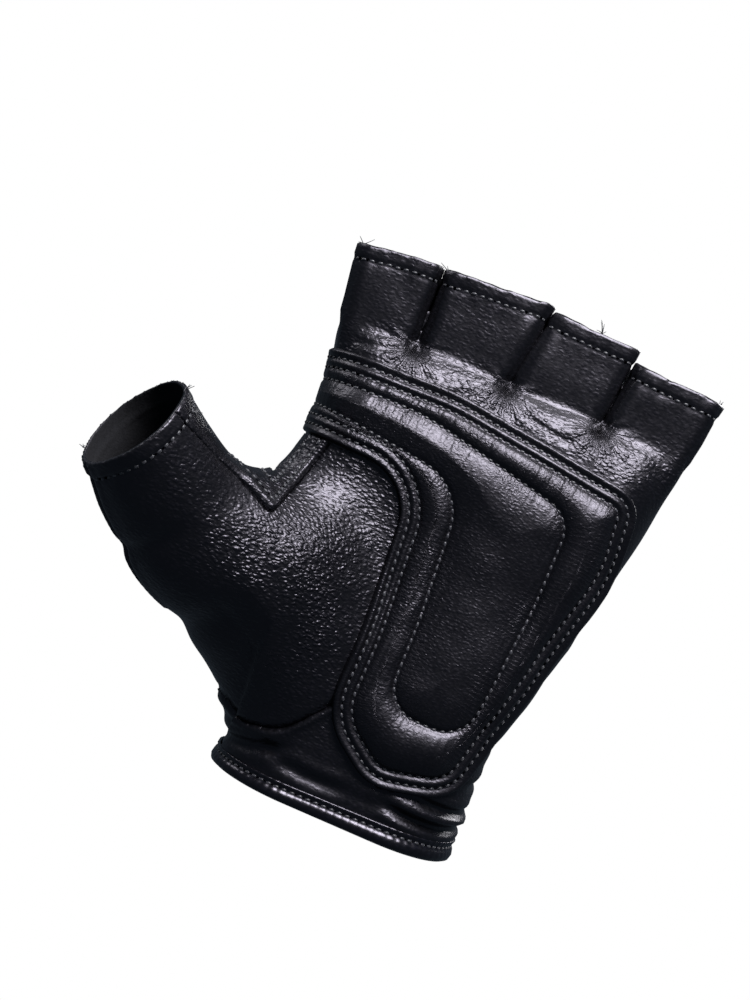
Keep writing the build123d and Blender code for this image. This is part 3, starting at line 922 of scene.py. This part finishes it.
def band_height(p):
    """The strip's face: its outer edge is a fold, so it stands a little prouder there."""
    edge = inside(WEB_LINE, p)
    skived = np.clip((p[:, 0] + 58.5) / 8, 0.05, 1)
    face = BAND_THICK * np.clip(edge / 0.5, 0, 1) ** 0.5 + 0.35 * dent(edge - 0.9, 0.7)
    h = leather_height(p) + 0.1 + skived * face
    for row in WEB_ROWS:
        h -= 0.25 * dent(edge - row, 0.5)
    return h


def band_area(p):
    """How far inside the strip a point is."""
    edge = inside(WEB_LINE, p)
    return np.minimum.reduce((edge, BAND_WIDTH - edge, 86.6 - p[:, 2], PATCH_WRAP - p[:, 1], p[:, 0] + 58))


near_web = cut(TRIMMED, lambda p: np.minimum(inside(WEB_LINE, p) + 2, 90 - p[:, 2]))
WEB_SKIN = finer(near_web)
band = hide("web_band_leather", cut(WEB_SKIN, band_area), band_height, BAND_THICK, PALM_LEATHERS)
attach(band, "glove")
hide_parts("web_band")


# ---------------------------------------------------------------------------------------------------------
# Stitching: bonded polyester thread, three-ply, in lockstitch about twelve to the inch. Each stitch is a
# short rounded bar of thread that dips into its holes at both ends. At each hole sits a flat black lens
# of painted shade, for the dark of the needle hole.

PITCH = 2.1
STITCH = (1.25, 0.78, 0.55)
SLANT = math.radians(7)


def bonded_thread():
    """Black thread with a waxy bond on it: plies show as slanting bands, with a soft shine."""
    material, tree, shader, mm = new_material("bonded_polyester_thread")
    plies = add(tree, "ShaderNodeTexNoise", Vector=mm, Scale=3.0, Detail=3.0)
    colour = add(tree, "ShaderNodeMix", {"data_type": "RGBA"}, _0=plies.outputs["Fac"], _6=srgb("#121217"),
                 _7=srgb("#3c3c46"))
    tree.links.new(colour.outputs[2], shader.inputs["Base Color"])
    bump = add(tree, "ShaderNodeBump", Strength=0.5, Distance=0.08 * MM, Height=plies.outputs["Fac"])
    tree.links.new(bump.outputs[0], shader.inputs["Normal"])
    shader.inputs["Roughness"].default_value = 0.38
    shader.inputs["Sheen Weight"].default_value = 0.3
    return material


def needle_hole():
    """A flat matte black lens over each needle hole: painted shade for the dark hollow where no light gets
    in.
    """
    material, _, shader, _ = new_material("needle_hole_painted_shade")
    shader.inputs["Base Color"].default_value = srgb("#020203")
    shader.inputs["Roughness"].default_value = 1.0
    shader.inputs["Specular IOR Level"].default_value = 0.0
    return material


# black lenses of painted shade, laid over the needle holes
HOLE_SHADE = needle_hole()
THREAD = bonded_thread()


def one_stitch():
    """The points and faces of one stitch along x, z away from the leather, and its lens of painted shade."""
    bpy.ops.mesh.primitive_uv_sphere_add(segments=8, ring_count=6, radius=0.5)
    ball = bpy.context.object
    points = np.array([v.co for v in ball.data.vertices])
    faces = [list(face.vertices) for face in ball.data.polygons]
    bpy.data.objects.remove(ball)
    points = points[:, (2, 0, 1)]
    bar = points.copy()
    bar[:, 0] = np.sign(bar[:, 0]) * np.abs(2 * bar[:, 0]) ** 0.7 / 2
    # a flattened black lens at the stitch's end, sunk a little: painted shade over the needle hole
    hole_shade = points * (0.8, 0.85, 0.18) + (PITCH / 2, 0, -0.1)
    return np.concatenate((bar * STITCH, hole_shade)), faces + [[v + len(points) for v in face] for face in faces]


STITCH_POINTS, STITCH_FACES = one_stitch()


def lines_on(mesh, field):
    """The lines on a mesh where a field is zero, each an ordered run of points."""
    points, faces = mesh
    value = field(points)
    value = np.where(value == 0, 1e-9, value)
    edges = np.sort(np.concatenate((faces[:, (0, 1)], faces[:, (1, 2)], faces[:, (2, 0)])), axis=1)
    unique, place = np.unique(edges, axis=0, return_inverse=True)
    crossed = value[unique[:, 0]] * value[unique[:, 1]] < 0
    low, high = value[unique[:, 0]], value[unique[:, 1]]
    share = np.where(crossed, low / np.where(crossed, low - high, 1), 0)[:, None]
    spots = points[unique[:, 0]] * (1 - share) + points[unique[:, 1]] * share
    sides = place.reshape(3, -1).T
    links = {}
    for trio in sides[crossed[sides].sum(axis=1) == 2]:
        a, b = [side for side in trio if crossed[side]]
        links.setdefault(a, []).append(b)
        links.setdefault(b, []).append(a)
    runs = []
    waiting = dict.fromkeys([key for key, ends in links.items() if len(ends) == 1] + list(links))
    seen = set()
    for start in waiting:
        if start in seen:
            continue
        run, here = [start], start
        seen.add(start)
        while True:
            onward = [key for key in links[here] if key not in seen]
            if not onward:
                break
            here = onward[0]
            seen.add(here)
            run.append(here)
        if len(links[start]) == 2 and start in links[here]:
            run.append(start)
        runs.append(spots[run])
    return runs


def spaced(run, pitch):
    """Points at an even pitch along a run, with its small jags smoothed away."""
    for _ in range(6):
        run[1:-1] = (run[:-2] + 2 * run[1:-1] + run[2:]) / 4
    far = np.concatenate(([0], np.cumsum(np.linalg.norm(np.diff(run, axis=0), axis=1))))
    count = int(far[-1] / pitch)
    if count < 2:
        return np.empty((0, 3)), np.empty((0, 3))
    steps = (np.arange(count) + 0.5) * far[-1] / count
    places = np.stack([np.interp(steps, far, run[:, i]) for i in range(3)], axis=1)
    ahead = np.stack([np.interp(steps + 0.5, far, run[:, i]) for i in range(3)], axis=1)
    behind = np.stack([np.interp(steps - 0.5, far, run[:, i]) for i in range(3)], axis=1)
    return places, ahead - behind


def sew(name, node, rows, height, body="glove", pitch=PITCH, sink=0.08):
    """Rows of stitches in one piece: each row is a mesh and a field that is zero along the row."""
    places, ways = [], []
    for mesh, field in rows:
        for run in lines_on(mesh, field):
            place, way = spaced(run, pitch)
            places.append(place)
            ways.append(way)
    places, ways = np.concatenate(places), np.concatenate(ways)
    normal = facing(places)
    spots = places + normal * (height(places) - sink + STITCH[2] / 4)[:, None]
    sewn_at(name, node, spots, ways, normal, body)


def sewn_at(name, node, spots, ways, normal, body):
    """One piece of many stitches at given spots, each along its way, standing on its normal."""
    long = ways - normal * (ways * normal).sum(axis=1)[:, None]
    long /= np.linalg.norm(long, axis=1)[:, None]
    wide = np.cross(normal, long)
    turn = long * math.cos(SLANT) + wide * math.sin(SLANT)
    wide = np.cross(normal, turn)
    n = len(STITCH_POINTS)
    x, y, z = (STITCH_POINTS[:, i][None, :, None] for i in range(3))
    points = spots[:, None] + x * turn[:, None] + y * wide[:, None] + z * normal[:, None]
    faces = [[v + i * n for v in face] for i in range(len(spots)) for face in STITCH_FACES]
    per = len(STITCH_FACES)
    # the second half of each stitch's faces is its lens of painted shade over the needle hole
    slots = [int(j >= per // 2) for _ in spots for j in range(per)]
    piece = as_object(name, points.reshape(-1, 3), faces, [THREAD, HOLE_SHADE], slots)
    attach(piece, body)
    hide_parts(node)


def row_at(line, inset):
    """The field of a row that runs an inset inside an outline."""
    return lambda p: inside(line, p) - inset


sewable = cut(PATCH_SKIN, lambda p: patch_area(p) - 0.5)
for side, inset in zip(("outer", "inner"), PATCH_ROWS):
    sew(f"patch_{side}_row_thread", f"patch_stitching_{side}", [(sewable, row_at(PATCH_LINE, inset))],
        patch_height)
sew("pad_row_thread", "pad_stitching", [(sewable, row_at(PAD_STITCH_LINE, 0))], patch_height)

web_sewable = cut(WEB_SKIN, lambda p: np.minimum(band_area(p), inside(WEB_LINE, p) - 0.5))
web_rows = [(web_sewable, row_at(WEB_LINE, inset)) for inset in WEB_ROWS]
sew("web_thread", "web_stitching", web_rows, band_height)

finger_hems = cut(TRIMMED, lambda p: np.minimum(p[:, 2] - WEB, np.abs(p[:, 1]) - FOURCHETTE_HALF - 0.5))
sew("finger_hem_thread", "finger_hem_stitching", [(finger_hems, lambda p: to_rim(p) - HEM)], leather_height)
thumb_hem = cut(TRIMMED, lambda p: np.minimum(-55 - p[:, 0], 100 - p[:, 2]))
sew("thumb_hem_thread", "thumb_hem_stitching", [(thumb_hem, lambda p: to_rim(p) - HEM)], leather_height)


# ---------------------------------------------------------------------------------------------------------
# Loose thread ends: the bonded polyester of the hem rows, cut off short and not tucked in at the corners
# of the stalls and the thumb, where its plies spring apart.

def loose_ends(name, node, corners, seed):
    """A tuft of fine bent thread ends at each corner: five-sided, tapering tubes."""
    random = np.random.default_rng(seed)
    points, faces = [], []
    turn = np.arange(5) * 2 * math.pi / 5
    leather = TRIMMED[0]
    for corner in corners:
        spot = leather[np.argmin(np.linalg.norm(leather - corner, axis=1))]
        out = facing(spot[None])[0]
        for _ in range(5):
            way = np.array((0, 0, 1.0)) * random.uniform(0.4, 1) + out * random.uniform(0.2, 0.9)
            way += random.normal(size=3) * 0.5
            bend = random.normal(size=3) * 0.6
            length = random.uniform(1.0, 2.4)
            first = len(points)
            for k, t in enumerate(np.linspace(0, 1, 6)):
                middle = spot + (way * t + bend * t * t) * length / 1.4 - 0.4 * out
                side = np.cross(way + 2 * bend * t, (0.3, 1, 0.2))
                side /= np.linalg.norm(side)
                other = np.cross(side, way)
                other /= np.linalg.norm(other)
                thin = 0.15 * (1 - 0.55 * t)
                points += [middle + thin * (side * math.cos(a) + other * math.sin(a)) for a in turn]
                if k:
                    low = first + 5 * (k - 1)
                    high = low + 5
                    faces += [(low + i, low + (i + 1) % 5, high + (i + 1) % 5, high + i) for i in range(5)]
            faces += [tuple(range(first + 4, first - 1, -1)), tuple(range(first + 25, first + 30))]
    ends = as_object(name, np.array(points), faces, [THREAD])
    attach(ends, "glove")
    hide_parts(node)


loose_ends("finger_hem_loose_ends", "finger_hem_stitching",
           ((-49, -7, 139), (-28, -9, 139), (14.5, -8, 141), (25, -9, 139), (50, -5, 137)), 61)
loose_ends("thumb_hem_loose_ends", "thumb_hem_stitching",
           ((-72, -44, 86), (-66, -46, 82), (-93, -38, 63)), 62)


# ---------------------------------------------------------------------------------------------------------
# Cuff binding: a strip of glossy nappa folded over the raw edge of the wrist from both sides, rolled full,
# with its own fold standing up as a thin line above the groove that its stitches run in.

# offset from the leather's face and height, from the top edge down the outside, under, and up the inside
BINDING_OUTER = ((0.05, 5.75), (0.75, 5.45), (0.42, 4.8), (0.05, 4.0), (0.85, 3.4), (1.25, 2.2), (0.95, 1.1),
                 (0.0, 0.6), (-1.3, 0.55), (-2.2, 1.1), (-2.35, 2.7), (-2.3, 5.2))
BINDING_INNER = ((0.03, 5.6), (0.03, 5.2), (0.03, 4.6), (0.03, 3.9), (0.03, 3.2), (0.03, 2.2), (0.02, 1.45),
                 (-0.4, 1.38), (-0.9, 1.38), (-1.2, 1.5), (-1.22, 2.7), (-1.25, 5.1))
BINDING_SEAM = 4.0


def wrist_round(height, step):
    """Even places round the wrist from one side of the slit to the other, with their outward normals."""
    angle = np.linspace(0, 2 * math.pi, 1200, endpoint=False)
    near, far = np.full(len(angle), 5.0), np.full(len(angle), 60.0)
    level = np.full(len(angle), height)
    for _ in range(30):
        middle = (near + far) / 2
        spot = np.stack((SLIT_X + middle * np.sin(angle), middle * np.cos(angle), level), axis=1)
        out = body_distance(spot) > 0
        far, near = np.where(out, middle, far), np.where(out, near, middle)
    spot = spot[(np.abs(spot[:, 0] - SLIT_X) > SLIT_HALF) | (spot[:, 1] < 0)]
    far = np.concatenate(([0], np.cumsum(np.linalg.norm(np.diff(spot, axis=0), axis=1))))
    steps = np.linspace(0, far[-1], int(far[-1] / step) + 1)
    places = np.stack([np.interp(steps, far, spot[:, i]) for i in range(3)], axis=1)
    ways = np.gradient(places, axis=0)
    ways /= np.linalg.norm(ways, axis=1)[:, None]
    return places, ways, np.cross(ways, (0, 0, -1))


def binding_stretch(places):
    """The binding is a little wider on the little-finger side."""
    return 1 + 0.1 * places[:, 0] / 32


places, ways, outward = wrist_round(2.5, 0.45)
outward *= np.sign((outward * places).sum(axis=1).mean())
arc = np.arange(len(places)) * 0.45
profile = np.array(BINDING_OUTER + BINDING_INNER[::-1])
rows = []
for offset, height in profile:
    tug = 0.10 * np.sin(arc * 2 * math.pi / 2.1) * dent(np.array([height - BINDING_SEAM]), 1.6)
    full = 0.16 * wander(places, 11, 51) * (0 < height < 3.6) * (offset > 0.3)
    row = places + outward * (offset + full + tug * (offset > 0.04))[:, None]
    row[:, 2] = height * (binding_stretch(places) if offset > -0.2 and height > 1 else 1)
    rows.append(row)
rows = np.stack(rows)
sections, count = rows.shape[:2]
grid = np.arange(sections * count).reshape(sections, count)
ring = np.roll(grid, -1, axis=0)
sides = np.stack((grid[:, :-1], ring[:, :-1], ring[:, 1:], grid[:, 1:]), axis=-1).reshape(-1, 4)
half = len(BINDING_OUTER)
caps = [(grid[k, i], grid[k + 1, i], grid[sections - 2 - k, i], grid[sections - 1 - k, i])
        for i in (0, count - 1) for k in range(half - 1)]
caps = [cap[::-1] if i < half - 1 else cap for i, cap in enumerate(caps)]
BINDING_NAPPA = nappa("nappa_leather_polished", "#060609", "#101018", 0.27, GRAIN, 0.025, 0.7)
binding = as_object("cuff_binding_leather", rows.reshape(-1, 3), sides.tolist() + caps, [BINDING_NAPPA])
bpy.context.view_layer.objects.active = binding
bpy.ops.object.select_all(action="DESELECT")
binding.select_set(True)
bpy.ops.object.mode_set(mode="EDIT")
bpy.ops.mesh.select_all(action="SELECT")
bpy.ops.mesh.normals_make_consistent(inside=False)
bpy.ops.object.mode_set(mode="OBJECT")
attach(binding, "glove")
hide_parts("cuff_binding")

places, ways, normal = wrist_round(2.5, PITCH)
normal *= np.sign((normal * places).sum(axis=1).mean())
places[:, 2] = BINDING_SEAM * binding_stretch(places)
sewn_at("cuff_thread", "cuff_stitching", (places + 0.16 * normal)[1:-1], ways[1:-1], normal[1:-1], "glove")


# ---------------------------------------------------------------------------------------------------------
# Wrist closure: an elastic sewn inside the back gathers it, an underlap of thin nappa backs the slit, and a
# tab of two leathers sewn to an anchor on the thumb side closes over it with hook and loop tape.

TAB_LOW, TAB_HIGH, TAB_END, TAB_HINGE = 9.0, 34.0, 25.0, -16.0
TAB_ROW = 2.2
TAB_LINE = rounded_outline(
    ((-60, TAB_HIGH, 2), (TAB_END, TAB_HIGH, 8), (TAB_END, TAB_LOW, 8), (-60, TAB_LOW, 2)))
TAPE_LINE = rounded_outline(((4, 30, 2), (21, 30, 2), (21, 13, 2), (4, 13, 2)))
LOOP_FACE, HOOK_FACE, TAB_FACE = 1.0, 2.33, 3.45


def back_of_wrist(low, high):
    """Fine skin of the back between two corners (x, z)."""
    return finer(cut(TRIMMED, lambda p: np.minimum.reduce((
        p[:, 1] - 3, p[:, 0] - low[0], high[0] - p[:, 0], p[:, 2] - low[1], high[1] - p[:, 2]))))


def over_back(rise):
    """A height over the back panel's leather."""
    return lambda p: leather_height(p) + rise


def woven_elastic():
    """Black braided elastic: fine ribs up its width, crossed by its picks."""
    material, tree, shader, mm = new_material("braided_elastic_black")
    ribs = add(tree, "ShaderNodeTexWave", {"bands_direction": "X"}, Vector=mm, Scale=0.32, Distortion=0.3)
    picks = add(tree, "ShaderNodeTexWave", {"bands_direction": "Z"}, Vector=mm, Scale=0.6, Distortion=0.5)
    weave = add(tree, "ShaderNodeMath", {"operation": "MULTIPLY_ADD"}, _0=picks.outputs["Fac"], _1=0.4,
                _2=ribs.outputs["Fac"])
    colour = add(tree, "ShaderNodeMix", {"data_type": "RGBA"}, _0=weave.outputs[0], _6=srgb("#101012"),
                 _7=srgb("#2b2b2f"))
    tree.links.new(colour.outputs[2], shader.inputs["Base Color"])
    bump = add(tree, "ShaderNodeBump", Strength=0.8, Distance=0.25 * MM, Height=weave.outputs[0])
    tree.links.new(bump.outputs[0], shader.inputs["Normal"])
    shader.inputs["Roughness"].default_value = 0.75
    return material


def tape(name, dark, bright, pitch, relief, rough, sheen):
    """Nylon touch tape: a woven ground covered in hooks or in pile."""
    material, tree, shader, mm = new_material(name)
    tufts = add(tree, "ShaderNodeTexVoronoi", Vector=mm, Scale=1 / pitch, Randomness=0.45)
    fuzz = add(tree, "ShaderNodeTexNoise", Vector=mm, Scale=4.0, Detail=4.0)
    height = add(tree, "ShaderNodeMath", {"operation": "MULTIPLY_ADD"}, _0=fuzz.outputs["Fac"], _1=0.5,
                 _2=tufts.outputs["Distance"])
    colour = add(tree, "ShaderNodeMix", {"data_type": "RGBA"}, _0=height.outputs[0], _6=srgb(bright),
                 _7=srgb(dark))
    tree.links.new(colour.outputs[2], shader.inputs["Base Color"])
    bump = add(tree, "ShaderNodeBump", {"invert": True}, Strength=1.0, Distance=relief * MM,
               Height=height.outputs[0])
    tree.links.new(bump.outputs[0], shader.inputs["Normal"])
    shader.inputs["Roughness"].default_value = rough
    shader.inputs["Sheen Weight"].default_value = sheen
    return material


ELASTIC = woven_elastic()
LOOP_PILE = tape("touch_tape_loop_pile", "#0c0c0e", "#2e2e32", 0.55, 0.45, 0.95, 0.5)
HOOKS = tape("touch_tape_moulded_hooks", "#09090a", "#303034", 0.95, 0.6, 0.4, 0.0)
TAB_NAPPA = nappa("nappa_leather_tab", "#07070a", "#111116", 0.36, 0.9 * GRAIN, 0.07, 0.6)

underlap = hide("wrist_underlap_leather", back_of_wrist((-8.5, 6), (12.5, 46)), over_back(-1.3), 1.0,
                BACK_LEATHERS, edge=0.2)
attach(underlap, "glove")
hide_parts("wrist_underlap")


def elastic_height(p):
    """The elastic's face, under the leather and rippled where its stitches gather it."""
    return leather_height(p) - 1.3 + 0.12 * np.sin(p[:, 0] * 2.1)


gathers = back_of_wrist((-25.8, 17), (-8.9, 27))
elastic = hide("wrist_elastic_braid", gathers, elastic_height, 0.7, [ELASTIC], edge=0.1)
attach(elastic, "glove")
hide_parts("wrist_elastic")

tape_skin = cut(back_of_wrist((2, 11), (23, 32)), lambda p: inside(TAPE_LINE, p))
loop = hide("tab_loop_tape", tape_skin, over_back(LOOP_FACE), LOOP_FACE - 0.08, [LOOP_PILE], edge=0.25)
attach(loop, "glove")
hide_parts("tab_loop")
hook = hide("tab_hook_tape", tape_skin, over_back(HOOK_FACE), 0.95, [TAB_NAPPA, HOOKS], edge=0.1)
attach(hook, "tab")
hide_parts("tab_hook")


def tab_height(p):
    """The tab's face: a soft roll at its edge and a dip along its stitches."""
    edge = inside(TAB_LINE, p)
    return leather_height(p) + TAB_FACE - 0.3 * dent(edge - TAB_ROW, 0.6) + 0.2 * dent(edge - 0.9, 0.6)


tab_skin = cut(back_of_wrist((TAB_HINGE + 0.35, 7), (27, 36)), lambda p: inside(TAB_LINE, p))
tab = hide("tab_leather_strap", tab_skin, tab_height, 1.1, [TAB_NAPPA, FLESH_SIDE], edge=0.3)
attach(tab, "tab")
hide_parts("tab_leather")
tab_rows = cut(tab_skin, lambda p: p[:, 0] - TAB_HINGE - TAB_ROW)
sew("tab_thread", "tab_stitching", [(tab_rows, row_at(TAB_LINE, TAB_ROW))], tab_height, "tab")

anchor_skin = back_of_wrist((TAB_HINGE - 8, TAB_LOW), (TAB_HINGE, TAB_HIGH))
anchor = hide("tab_anchor_leather", anchor_skin, over_back(TAB_FACE), TAB_FACE - 0.08,
              [TAB_NAPPA, FLESH_SIDE])
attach(anchor, "glove")
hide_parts("tab_anchor")


# ---------------------------------------------------------------------------------------------------------
# Studio: three softboxes round the glove, a dim blue-grey room for reflections behind a white backdrop, and
# the camera square to the palm.

def soft_light(name, place, target, power, size):
    """A square softbox at a place, turned to a target, all in metres."""
    light = bpy.data.lights.new(name, "AREA")
    light.energy = power
    light.size = size
    box = bpy.data.objects.new(name, light)
    bpy.context.collection.objects.link(box)
    box.location = place
    box.rotation_euler = (Vector(target) - Vector(place)).to_track_quat("-Z", "Y").to_euler()


AIM = (-0.021, -0.01, 0.078)
soft_light("key", (0.10, -0.47, 0.85), AIM, 18.0, 0.48)
soft_light("side", (-0.70, 0.10, 0.70), AIM, 2.5, 0.4)
soft_light("rim", (0.35, 0.5, 0.5), AIM, 4.0, 0.4)

world = bpy.data.worlds.new("studio")
bpy.context.scene.world = world
world.use_nodes = True
tree = world.node_tree
tree.nodes.clear()
seen = add(tree, "ShaderNodeLightPath").outputs["Is Camera Ray"]
backdrop = add(tree, "ShaderNodeBackground", Color=(1, 1, 1, 1), Strength=1.0)
room = add(tree, "ShaderNodeBackground", Color=(0.62, 0.80, 1.0, 1), Strength=0.09)
mix = add(tree, "ShaderNodeMixShader", _0=seen, _1=room.outputs[0], _2=backdrop.outputs[0])
add(tree, "ShaderNodeOutputWorld", Surface=mix.outputs[0])

bpy.context.scene.view_settings.view_transform = "Standard"

CAMERA_AWAY = 0.42
VIEW_HEIGHT = 0.26
camera_data = bpy.data.cameras.new("camera")
camera_data.sensor_width = 36
camera_data.lens = camera_data.sensor_width * CAMERA_AWAY / VIEW_HEIGHT
camera = bpy.data.objects.new("camera", camera_data)
bpy.context.collection.objects.link(camera)
tilt = math.radians(23.5)
right = Vector((math.cos(tilt), 0, math.sin(tilt)))
up = Vector((-math.sin(tilt), 0, math.cos(tilt)))
back = Vector((0, -1, 0))
turn = Matrix((right, up, back)).transposed().to_4x4()
camera.matrix_world = Matrix.Translation((-0.0212, -CAMERA_AWAY, 0.0781)) @ turn
bpy.context.scene.camera = camera
